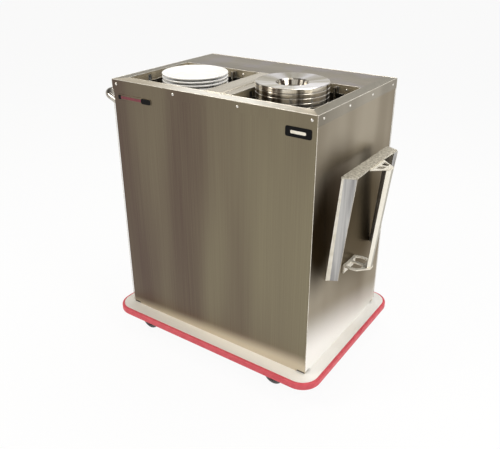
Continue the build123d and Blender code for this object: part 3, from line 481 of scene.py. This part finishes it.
def coated(name, look):
    material, tree, shader = startMaterial(name, {
        "Coat Weight": look["coat"], "Coat Roughness": coatingLayer["coatRoughness"],
        "Specular IOR Level": look.get("specular", coatingLayer["specular"])})
    place = addNode(tree, "ShaderNodeTexCoord").outputs["Object"]
    spots = addNode(tree, "ShaderNodeTexNoise", {
        "Vector": place, "Scale": 1000 / look["spotMm"], "Detail": 4.0}).outputs["Fac"]
    low, high = coatingLayer["wornEdge"]
    worn = addNode(tree, "ShaderNodeMapRange", {"Value": spots, "From Min": low, "From Max": high},
                   interpolation_type="SMOOTHSTEP").outputs[0]
    colour = addNode(tree, "ShaderNodeMix", {
        "Factor": worn, "A": linear(look["colour"]), "B": linear(look["worn"])},
        data_type="RGBA").outputs["Result"]
    smooth, coarse = look["roughness"]
    rough = addNode(tree, "ShaderNodeMapRange", {
        "Value": spots, "From Min": noiseLow, "From Max": noiseHigh,
        "To Min": smooth, "To Max": coarse}).outputs[0]
    relief = addNode(tree, "ShaderNodeBump", {
        "Height": spots, "Strength": look["bump"], "Distance": coatingLayer["reliefDepth"]}).outputs[0]
    tree.links.new(colour, shader.inputs["Base Color"])
    tree.links.new(rough, shader.inputs["Roughness"])
    tree.links.new(relief, shader.inputs["Normal"])
    return material


materials.update({name: coated(name, look) for name, look in coatings.items()})
print("coatings made:", len(coatings))

# which finish each CAD piece has: wheels are polyurethane, and whatever else isn't named here is zinc-plated
finishes = {
    "frontPanelSheetPaintedReflection": ["front_panel", "rear_panel", "left_badge_strip"],
    "endPanelSheetPaintedShadeAndReflection": ["left_end_panel", "right_end_panel"],
    "frontRailSheetPaintedReflection": ["front_rail"],
    "endRailSheet": ["left_rail", "right_rail"],
    "shelfSheet": ["rear_shelf"],
    "dividerSheet": ["top_divider"],
    "wellSheetPaintedShade": ["left_well_walls", "right_well_walls"],
    "platformSheet": ["left_platform", "right_platform"],
    "deckSheetPaintedReflection": ["deck"],
    "satinFolding": ["handle_legs"],
    "satinGripPaintedHighlight": ["handle_grip"],
    "blastedCover": ["handle_top_plate"],
    "satinPlate": ["handle_brackets"],
    "polishedTube": ["push_handle", "push_handle_flanges", "guide_posts"],
    "pressedDishPaintedReflection": ["dish_base_stack", "top_dish_base"],
    "galvanisedSheet": ["base_channels", "spring_hangers", "bumper_track"],
    "rolledPost": ["corner_posts"],
    "rivetHead": ["frame_rivets", "handle_screws"],
    "springWire": ["left_springs", "right_springs"],
    "extrudedVinyl": ["bumper"],
    "blackFilm": ["right_badge_plate"],
    "glazedChina": ["plate_stack", "top_plate"],
    "turnedNylon": ["left_guide_bushes", "right_guide_bushes"],
}
finishOf = {node: finish for finish, members in finishes.items() for node in members}
for name, node in nodes.items():
    finish = finishOf.get(name) or ("pouredPolyurethane" if "wheel" in name else "zincPlated")
    node.data.materials.clear()
    node.data.materials.append(materials[finish])
print("finishes set on", len(nodes), "nodes")

# rolled hems, folds and corner beads: thin rounded edges of pressed sheet that catch the light, with a painted
# highlight in their pale colour
hems = {
    # name: (points in metres, radius in mm, corner radius in mm, closed)
    "outerTopHem": ([(-0.3782, -0.2743, 0.9878), (0.4014, -0.2743, 0.9878),
                     (0.4014, 0.2743, 0.9878), (-0.3782, 0.2743, 0.9878)], 0.9, 3, True),
    "leftWellHem": ([(-0.0234, -0.2284, 0.9879), (-0.3468, -0.2284, 0.9879),
                     (-0.3468, 0.0814, 0.9879), (-0.0234, 0.0814, 0.9879)], 0.8, 4, False),
    "rightWellHem": ([(0.0826, -0.2284, 0.9879), (0.3610, -0.2284, 0.9879),
                      (0.3610, 0.0814, 0.9879), (0.0826, 0.0814, 0.9879)], 0.8, 7, False),
    "shelfFrontHem": ([(-0.0234, 0.0822, 0.9892), (0.0826, 0.0822, 0.9892)], 1.0, 0, False),
    "dividerFrontHem": ([(-0.0224, -0.2286, 0.9890), (0.0816, -0.2286, 0.9890)], 1.0, 0, False),
    "dividerRightHem": ([(0.0810, -0.2276, 0.9893), (0.0810, 0.0806, 0.9893)], 0.9, 0, False),
    "leftSkirtFold": ([(-0.3461, -0.2277, 0.9590), (-0.0227, -0.2277, 0.9590),
                       (-0.0227, 0.0807, 0.9590), (-0.3461, 0.0807, 0.9590)], 0.8, 2, True),
    "rightSkirtFold": ([(0.0819, -0.2277, 0.9590), (0.3603, -0.2277, 0.9590),
                        (0.3603, 0.0807, 0.9590), (0.0819, 0.0807, 0.9590)], 0.8, 2, True),
    "nearLegHem": ([(0.4341, -0.1453, 0.4185), (0.4739, -0.1493, 0.7775)], 0.8, 0, False),
    "farLegHem": ([(0.4341, 0.1553, 0.4185), (0.4739, 0.1593, 0.7775)], 0.8, 0, False),
    "frontRightEdge": ([(0.4014, -0.2743, 0.1165), (0.4014, -0.2743, 0.9872)], 0.9, 0, False),
    "frontLeftEdge": ([(-0.3782, -0.2743, 0.1165), (-0.3782, -0.2743, 0.9872)], 0.9, 0, False),
    "rearRightEdge": ([(0.4014, 0.2743, 0.1165), (0.4014, 0.2743, 0.9872)], 0.9, 0, False),
    "rearLeftEdge": ([(-0.3782, 0.2743, 0.1165), (-0.3782, 0.2743, 0.9872)], 0.9, 0, False),
}
hemSteps = 6  # steps of the arc at each corner
hemRounding = 3  # Blender's bevel resolution of the bead


# one bead along its points, with a small arc at each corner
def hemBead(name, points, radiusMm, cornerMm, closed):
    corners = [Vector(point) for point in points]
    count = len(corners)
    path = []
    for index, corner in enumerate(corners):
        atEnd = not closed and index in (0, count - 1)
        if atEnd or cornerMm == 0:
            path.append(corner)
            continue
        before = (corners[index - 1] - corner).normalized()
        after = (corners[(index + 1) % count] - corner).normalized()
        centre = corner + (before + after) * cornerMm / 1000
        for step in range(hemSteps + 1):
            angle = step / hemSteps * math.pi / 2
            alongAfter = after * math.cos(angle) * cornerMm / 1000
            alongBefore = before * math.sin(angle) * cornerMm / 1000
            path.append(centre - alongAfter - alongBefore)
    line = bpy.data.curves.new(name, "CURVE")
    line.dimensions = "3D"
    line.bevel_depth, line.bevel_resolution, line.use_fill_caps = radiusMm / 1000, hemRounding, True
    run = line.splines.new("POLY")
    run.points.add(len(path) - 1)
    for place, point in zip(path, run.points):
        point.co = (*place, 1.0)
    run.use_cyclic_u = closed
    line.materials.append(materials["pressedHemPaintedHighlight"])
    piece = bpy.data.objects.new(name, line)
    bpy.context.scene.collection.objects.link(piece)
    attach(piece, "cabinet")


for name, (points, radiusMm, cornerMm, closed) in hems.items():
    hemBead(name, points, radiusMm, cornerMm, closed)
print("hems laid:", len(hems))

# plain inlays on the two badges: flat shapes with a rounded rim
inlays = {
    # name: (badge, offset of its middle along the badge and up, length, width, corner radius, thickness,
    # finish, slot), with every size in mm
    "badgeField": ("right_badge_plate", (0.0, 0.0), 50.0, 9.0, 3.0, 0.6, "satinPlate", "fitting_steel"),
    "stripBar": ("left_badge_strip", (-8.0, 0.0), 112.0, 9.0, 2.0, 0.7, "redFilm", "red_badge"),
    "stripStart": ("left_badge_strip", (-65.5, 0.0), 12.0, 14.0, 2.0, 0.9, "blackFilm", "black_badge"),
    "stripEnd": ("left_badge_strip", (52.0, 0.0), 42.0, 18.0, 7.5, 0.9, "blackFilm", "black_badge"),
}
inlayRimMm = 0.25  # how far the rim rounds in and down
inlaySteps = 8  # steps of the arc at each corner


# a plate with round corners, standing on the outer face of its badge
def badgeInlay(name, badge, offset, length, width, corner, thick, finish, slotName):
    low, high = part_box(badge)
    middleX = (low[0] + high[0]) / 2 + offset[0] / 1000
    middleZ = (low[2] + high[2]) / 2 + offset[1] / 1000
    mesh = bpy.data.meshes.new(name)
    made = bmesh.new()
    rings = []
    # three rings: on the badge, just under the top, and the top, set in by the rim's rounding
    for depth, inset in ((0.0, 0.0), (thick - inlayRimMm, 0.0), (thick, inlayRimMm)):
        ring = []
        for turn, (signX, signZ) in enumerate(((1, 1), (-1, 1), (-1, -1), (1, -1))):
            for step in range(inlaySteps + 1):
                angle = (turn + step / inlaySteps) * math.pi / 2
                x = signX * (length / 2 - corner) + (corner - inset) * math.cos(angle)
                z = signZ * (width / 2 - corner) + (corner - inset) * math.sin(angle)
                ring.append(made.verts.new((middleX + x / 1000, low[1] - depth / 1000, middleZ + z / 1000)))
        rings.append(ring)
    for lower, upper in zip(rings, rings[1:]):
        for index in range(len(lower)):
            after = (index + 1) % len(lower)
            made.faces.new((lower[index], lower[after], upper[after], upper[index]))
    made.faces.new(rings[-1])
    made.faces.new(list(reversed(rings[0])))
    bmesh.ops.recalc_face_normals(made, faces=made.faces)
    made.to_mesh(mesh)
    made.free()
    mesh.materials.append(materials[finish])
    piece = bpy.data.objects.new(name, mesh)
    bpy.context.scene.collection.objects.link(piece)
    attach(piece, "cabinet")


for name, settings in inlays.items():
    badgeInlay(name, *settings)
print("badge inlays set:", len(inlays))

# folded strip down the inner edge of each leg of the handle frame: narrower at the head than at the foot
legStrip = {
    "foot": ((0.4006, -0.1660, 0.4182), (0.4121, -0.1570, 0.4182)),  # its two edges, in metres
    "head": ((0.4311, -0.1640, 0.7778), (0.4371, -0.1610, 0.7778)),
    "thickMm": 0.6,
    "rimMm": 0.2,
    "rimSteps": 2,
    "middleY": 0.005,  # metres: the plane that the two legs mirror in
}
legSides = {"nearLegFold": 1, "farLegFold": -1}
for name, side in legSides.items():
    mesh = bpy.data.meshes.new(name)
    made = bmesh.new()
    corners = []
    for inner, outer in (legStrip["foot"], legStrip["head"]):
        run = (Vector(outer) - Vector(inner)).normalized()
        outwards = Vector((-run.y, run.x, 0)) * -legStrip["thickMm"] / 1000
        for point, lift in ((inner, 0), (outer, 0), (outer, 1), (inner, 1)):
            spot = Vector(point) + outwards * lift
            spot.y = legStrip["middleY"] + side * (spot.y - legStrip["middleY"])
            corners.append(made.verts.new(spot))
    for index in range(4):
        after = (index + 1) % 4
        made.faces.new((corners[index], corners[after], corners[after + 4], corners[index + 4]))
    made.faces.new(corners[:4])
    made.faces.new(corners[4:])
    bmesh.ops.recalc_face_normals(made, faces=made.faces)
    made.to_mesh(mesh)
    made.free()
    mesh.materials.append(materials["satinPlate"])
    piece = bpy.data.objects.new(name, mesh)
    bpy.context.scene.collection.objects.link(piece)
    rounding = piece.modifiers.new("rim", "BEVEL")
    rounding.width, rounding.segments = legStrip["rimMm"] / 1000, legStrip["rimSteps"]
    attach(piece, "cabinet")
print("leg folds set:", len(legSides))
